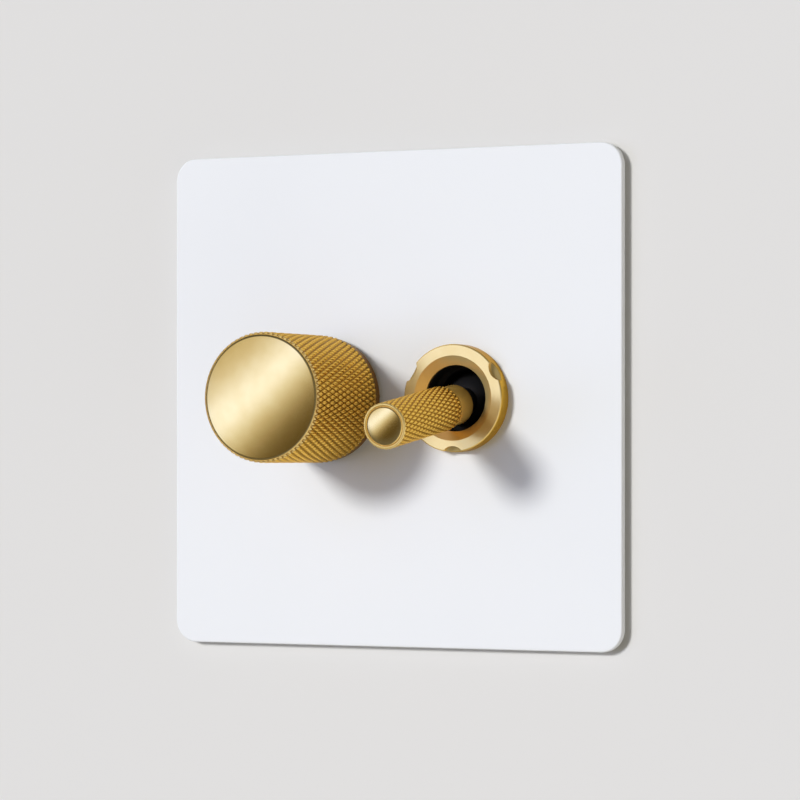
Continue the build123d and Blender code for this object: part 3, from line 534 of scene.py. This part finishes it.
# %% Build the knob
dome_r = knob_r - knob_bevel - knob_groove
knob_land_r = knob_r - knob_land_step
knob_cap = dome(dome_r, knob_dome, knob_length, count=28)
knob_rim = rounded([
    (knob_length, dome_r), (knob_length - knob_groove, dome_r + knob_groove / 2),
    (knob_length, dome_r + knob_groove), (knob_length - knob_bevel_depth, knob_r)],
    ease=0.05, step=0.08)[1:-1]
knob_back = rounded([
    (knob_land, knob_r), (knob_land, knob_land_r), (edge_break, knob_land_r), (0, knob_land_r - edge_break),
    (0, knob_recess_r), (knob_recess, knob_recess_r), (knob_recess, insert_r),
    (knob_recess + knob_bore, insert_r), (knob_recess + knob_bore, 0)],
    ease=0.06, step=1.5)[1:]
knob_origin = np.array([knob_centre.x, knob_high.y, knob_centre.z]) / MM
knob = knurled("knurled_knob", knob_cap, knob_rim, knob_back, knob_r,
               (knob_length - knob_bevel_depth, knob_land), knob_teeth, knob_tooth_length, knob_knurl_depth,
               knob_origin, (0, -1, 0), notched=True)
# Behind its grip the knob takes the default tone behind the grip, a painted shade that darkens its plain land.
knob.data.materials.append(turned_brass("lacquered_brass_knob", knob_centre, knurled=True))
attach(knob, "knob")
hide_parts("dimmer_knob")

# %% [markdown]
# ## The toggle's bar
#
# The bar is the same work on 7.75 mm stock: a dome set inside a raised rim, the knurl and a plain neck,
# with a bore for the stem. At rest the lever leans down by half its swing, which the joint's range gives,
# so the bar is drawn along that leaning axis.

# %% Bar sizes
swing = next(joint for joint in frame["joints"] if joint["name"] == "toggle_swing")
pivot = np.array(swing["pos_m"]) / MM
lean = np.radians(swing["range_deg"][1] / 2)
lever_axis = np.array([0, -np.cos(lean), -np.sin(lean)])
lever_reach = 35.4
lever_dome = 0.5
bar_r = 3.875
bar_rim = 0.45
bar_groove = 0.25
bar_knurl_start = 13.4
neck_r = 3.45
neck_start = 7.7
stem_bore_r = 2.55
stem_bore_end = 20.2
bar_teeth = 30
bar_tooth_length = 2.725
bar_knurl_depth = 0.26
print("lever leans", round(float(np.degrees(lean)), 2), "degrees about", pivot.round(2).tolist())

# %% Build the bar
bar_dome_r = bar_r - bar_rim - bar_groove
bar_cap = dome(bar_dome_r, lever_dome, lever_reach, count=16)
bar_front_rim = rounded([
    (lever_reach, bar_dome_r), (lever_reach - bar_groove, bar_dome_r + bar_groove / 2),
    (lever_reach, bar_dome_r + bar_groove), (lever_reach, bar_r - edge_break),
    (lever_reach - edge_break, bar_r)],
    ease=0.05, step=0.08)[1:-1]
bar_back = rounded([
    (bar_knurl_start, bar_r), (bar_knurl_start - edge_break, neck_r), (neck_start + edge_break, neck_r),
    (neck_start, neck_r - edge_break), (neck_start, stem_bore_r), (stem_bore_end, stem_bore_r),
    (stem_bore_end, 0)],
    ease=0.06, step=1.0)[1:]
bar = knurled("knurled_bar", bar_cap, bar_front_rim, bar_back, bar_r,
              (lever_reach - edge_break, bar_knurl_start), bar_teeth, bar_tooth_length, bar_knurl_depth,
              pivot, lever_axis, notched=False)
# Behind its grip the bar's neck takes a brighter gold as painted light.
bar.data.materials.append(turned_brass("lacquered_brass_bar", pivot * MM, turn=(lean, 0, 0), knurled=True,
                                       behind_painted_tone=neck_light_tone))
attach(bar, "lever")
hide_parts("toggle_bar")

# %% [markdown]
# ## Finishes for the CAD pieces
#
# Every other piece keeps its CAD form and gets its finish through its material slot in the record. The
# dress nut's outer wall has a warm gold of its own as a painted reflection, and its lacquer makes it a
# little less metallic.

# %% Dress the CAD nodes
ring_low, ring_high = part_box("toggle_ring_nut")
ring_r = (ring_high.x - ring_low.x) / 2 / MM
choke_low, choke_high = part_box("choke")
finishes = {
    "painted_plate": painted("satin_white_paint"),
    "turned_brass": turned_brass("lacquered_brass_nut", (ring_low + ring_high) / 2,
                                 metal=0.66, side_r=ring_r),
    "plain_brass": plain_brass("bare_brass"),
    "copper_alloy": plated("phosphor_bronze", (0.5, 0.27, 0.13), (0.66, 0.38, 0.2), roughness=0.3),
    "copper_winding": wound("enamelled_copper", (choke_low + choke_high) / 2),
    "zinc_steel": plated("zinc_plate", (0.5, 0.52, 0.55), (0.66, 0.67, 0.69), roughness=0.36),
    "spring_steel": plated("spring_wire", (0.42, 0.42, 0.43), (0.55, 0.55, 0.56), roughness=0.25),
    "aluminium": plated("mill_aluminium", (0.68, 0.69, 0.7), (0.8, 0.81, 0.82), roughness=0.38),
    "black_bush": moulded("black_oxide", (0.012, 0.0115, 0.012), roughness=0.5, grain=3 * MICRON),
    "black_plastic": moulded("black_moulding", (0.022, 0.022, 0.024)),
    "grey_plastic": moulded("dark_grey_moulding", (0.07, 0.072, 0.076)),
    "white_plastic": moulded("white_moulding", (0.74, 0.73, 0.7)),
    "yellow_film": moulded("yellow_dip", (0.72, 0.5, 0.07), roughness=0.25),
    "circuit_laminate": laminate("green_laminate"),
}
for row in frame["record"]["subparts"]:
    piece = frame["nodes"][row["node"]]
    piece.data.materials.clear()
    piece.data.materials.append(finishes[row["material_slot"]])

# %% [markdown]
# ## The spring that gives way
#
# Pushing the knob presses the switch's plunger against its return spring. A coil shortens by the same
# share all along, so the share of its length that is left after the travel, one less the travel over the
# length, is worked out; the copy of the CAD spring is not flattened by it, and stays at full length on the
# root. A CAD mesh is loose triangles, so the copy has the corners that lie on each other merged first,
# which makes it one closed skin. It drops the shading normals that belonged to the loose triangles, and
# is shaded smoothly.

# %% Copy the return spring
cad_spring = frame["nodes"]["return_spring"]
coil = bmesh.new()
coil.from_mesh(cad_spring.data)
coil.transform(cad_spring.matrix_world)
bmesh.ops.remove_doubles(coil, verts=coil.verts, dist=1 * MICRON)
spring_mesh = bpy.data.meshes.new("return_coil")
coil.to_mesh(spring_mesh)
open_edges = sum(edge.is_boundary for edge in coil.edges)
coil.free()
for corner_normals in [layer for layer in spring_mesh.attributes if layer.name == "custom_normal"]:
    spring_mesh.attributes.remove(corner_normals)
spring_mesh.polygons.foreach_set("use_smooth", np.ones(len(spring_mesh.polygons), bool))
spring_mesh.materials.append(finishes["spring_steel"])
print("return spring has", open_edges, "open edges")

# %% Place the spring's copy
push = next(joint for joint in frame["joints"] if joint["name"] == "dimmer_push")
spring_low, spring_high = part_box("return_spring")
spring_length = spring_high.y - spring_low.y
spring = link("return_coil", spring_mesh)
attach(spring, "root")
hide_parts("return_spring")
1 - push["range_m"][1] / spring_length
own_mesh(spring)
print("return spring is", round(spring_length / MM, 2), "mm long")

# %% [markdown]
# ## The wall
#
# The plate hangs on a pale wall, which takes its shadow. The wall has a square opening behind the plate,
# as a real one has for its box, so nothing cuts the parts behind. Seen from behind, the wall is clear, so
# that the back of the switch can be looked at.

# %% Build the wall
plate_low, plate_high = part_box("front_plate")
wall_gap = 0.001
wall_reach = 3.0
opening_reach = 0.0405
corner = np.array([(-1, -1), (1, -1), (1, 1), (-1, 1)], float)
flat = np.concatenate([corner * wall_reach, corner * opening_reach])
wall_points = np.insert(flat, 1, plate_high.y + wall_gap, axis=1)
wall_faces = [(side, (side + 1) % 4, (side + 1) % 4 + 4, side + 4) for side in range(4)]
wall_mesh = bpy.data.meshes.new("wall")
wall_mesh.from_pydata(wall_points.tolist(), [], wall_faces)
wall = link("wall", wall_mesh)
opening_width = 2 * opening_reach / MM
print("wall", wall_gap / MM, "mm behind the plate, with an opening of", round(opening_width, 1), "mm")

# %% Paint the wall
wall_paint = Finish("wall_paint")
wall_paint.set(Base_Color=(0.73, 0.717, 0.678, 1), Roughness=0.9, Specular_IOR_Level=0.1)
from_behind = wall_paint.node("NewGeometry", out=6)
clear = wall_paint.node("BsdfTransparent")
painted_side = Wire(wall_paint, wall_paint.shader.outputs[0])
both = wall_paint.node("MixShader", sockets={0: from_behind, 1: painted_side, 2: clear})
wall_paint.feed(wall_paint.tree.nodes["Material Output"], {"Surface": both})
wall_mesh.materials.append(wall_paint.material)
print("wall paint of", len(wall_paint.tree.nodes), "nodes, clear from behind")

# %% [markdown]
# ## Light
#
# The photograph has one soft key from the upper left, which throws the shadows, and a studio that the
# domes mirror: dark to the lower right, a bright slanting band, and a mid tone to the upper left. A sun
# lamp with a wide disc makes the key, because its rays are parallel, as from a lamp far away. It doesn't
# show in the metal. The studio is the world. The domes mirror only a cone of it, so the bright band fills
# that cone and nothing more: a colour ramp along a slanting direction. The room round it is a second, dim
# ramp. A wider band would show no better in the metal, but it would wash out the plate, which takes light
# from all sides. Behind the plate the studio is one pale tone, which lights the back, and the camera sees
# a plain backdrop in its place.

# %% Key lamp
key_strength = 2.2
key_disc_degrees = 11
key_way = (0.41, 1, -0.31)
key_data = bpy.data.lights.new("key", "SUN")
key_data.energy = key_strength
key_data.angle = np.radians(key_disc_degrees)
key = link("key", key_data)
key.rotation_mode = "QUATERNION"
key.rotation_quaternion = Vector(key_way).to_track_quat("-Z", "Y")
key.visible_glossy = False
print("key shines along", key_way)

# %% Studio tones
studio_strength = 4
band_tones = [
    (-1.0, (0.1, 0.07, 0.02)), (0.08, (0.1, 0.07, 0.02)), (0.2, (0.17, 0.13, 0.05)),
    (0.3, (0.43, 0.37, 0.25)), (0.38, (0.73, 0.7, 0.6)), (0.46, (1.04, 1.12, 1.38)),
    (0.54, (1.37, 1.6, 2.6)), (0.62, (1.32, 1.54, 2.5)), (0.7, (1.03, 1.12, 1.5)),
    (0.8, (0.77, 0.74, 0.7)), (0.9, (0.64, 0.57, 0.4)), (1.0, (0.64, 0.57, 0.4)),
]
room_tones = [
    (-1.0, (0.9, 0.87, 0.82)), (-0.6, (0.78, 0.75, 0.7)), (-0.42, (0.18, 0.175, 0.165)),
    (0.3, (0.14, 0.135, 0.12)), (1.0, (0.1, 0.1, 0.1)),
]
back_tone = (0.7, 0.7, 0.7)
backdrop_tone = (0.76, 0.75, 0.73)


def shared(tone):
    """A tone over the studio's strength, because a ramp's colours end at 1."""
    return tuple(value / studio_strength for value in tone)


def shades(studio, slant, tones):
    """A colour ramp along the slant, whose places from -1 to 1 become 0 to 1."""
    stops = [((place + 1) / 2, shared(tone)) for place, tone in tones]
    return studio.node("ValToRGB", {"stops": stops}, {0: slant * 0.5 + 0.5})


# %% Build the studio
band_slope = (-0.684, -0.222, 0.695)
cone_axis = (-0.44, -0.898, 0)
cone_edge, cone_full = 0.74, 0.84
back_start, back_full = 0.1, 0.4
world = bpy.data.worlds.new("studio")
bpy.context.scene.world = world
world.use_nodes = True
studio = Graph(world.node_tree)
direction = studio.node("TexCoord")
slant = studio.along(direction, band_slope)
cone = studio.shift(studio.along(direction, cone_axis), cone_edge, cone_full, 0, 1)
light = studio.mix(cone, shades(studio, slant, room_tones), shades(studio, slant, band_tones))
behind_plate = studio.shift(studio.axes(direction)[1], back_start, back_full, 0, 1)
light = studio.mix(behind_plate, light, shared(back_tone))
seen_by_camera = studio.node("LightPath")
light = studio.mix(seen_by_camera, light, shared(backdrop_tone))
studio.feed(world.node_tree.nodes["Background"], {"Color": light, "Strength": studio_strength})
print("studio of", len(band_tones), "and", len(room_tones), "tones")

# %% [markdown]
# ## Camera
#
# The plate's four corners in the photograph fix the camera: it stands 26 degrees to the right of the
# plate's front, a little below its middle, looks along the horizon and is shifted up, which keeps the
# plate's upright edges upright.

# %% Place the camera
camera_place = (0.27085, -0.5552, -0.00985)
camera_turn = 26.12
focal_pixels = 3536
frame_pixels = 800
horizon_pixel = 455.7
sensor_width = 36
camera_data = bpy.data.cameras.new("camera")
camera_data.sensor_width = sensor_width
camera_data.lens = sensor_width * focal_pixels / frame_pixels
camera_data.shift_y = (horizon_pixel - frame_pixels / 2) / frame_pixels
camera_data.clip_start = 0.01
camera = link("camera", camera_data)
camera.location = camera_place
camera.rotation_euler = (np.pi / 2, 0, np.radians(camera_turn))
bpy.context.scene.camera = camera
bpy.context.scene.view_settings.view_transform = "Standard"
print("lens", round(camera_data.lens, 1), "mm")
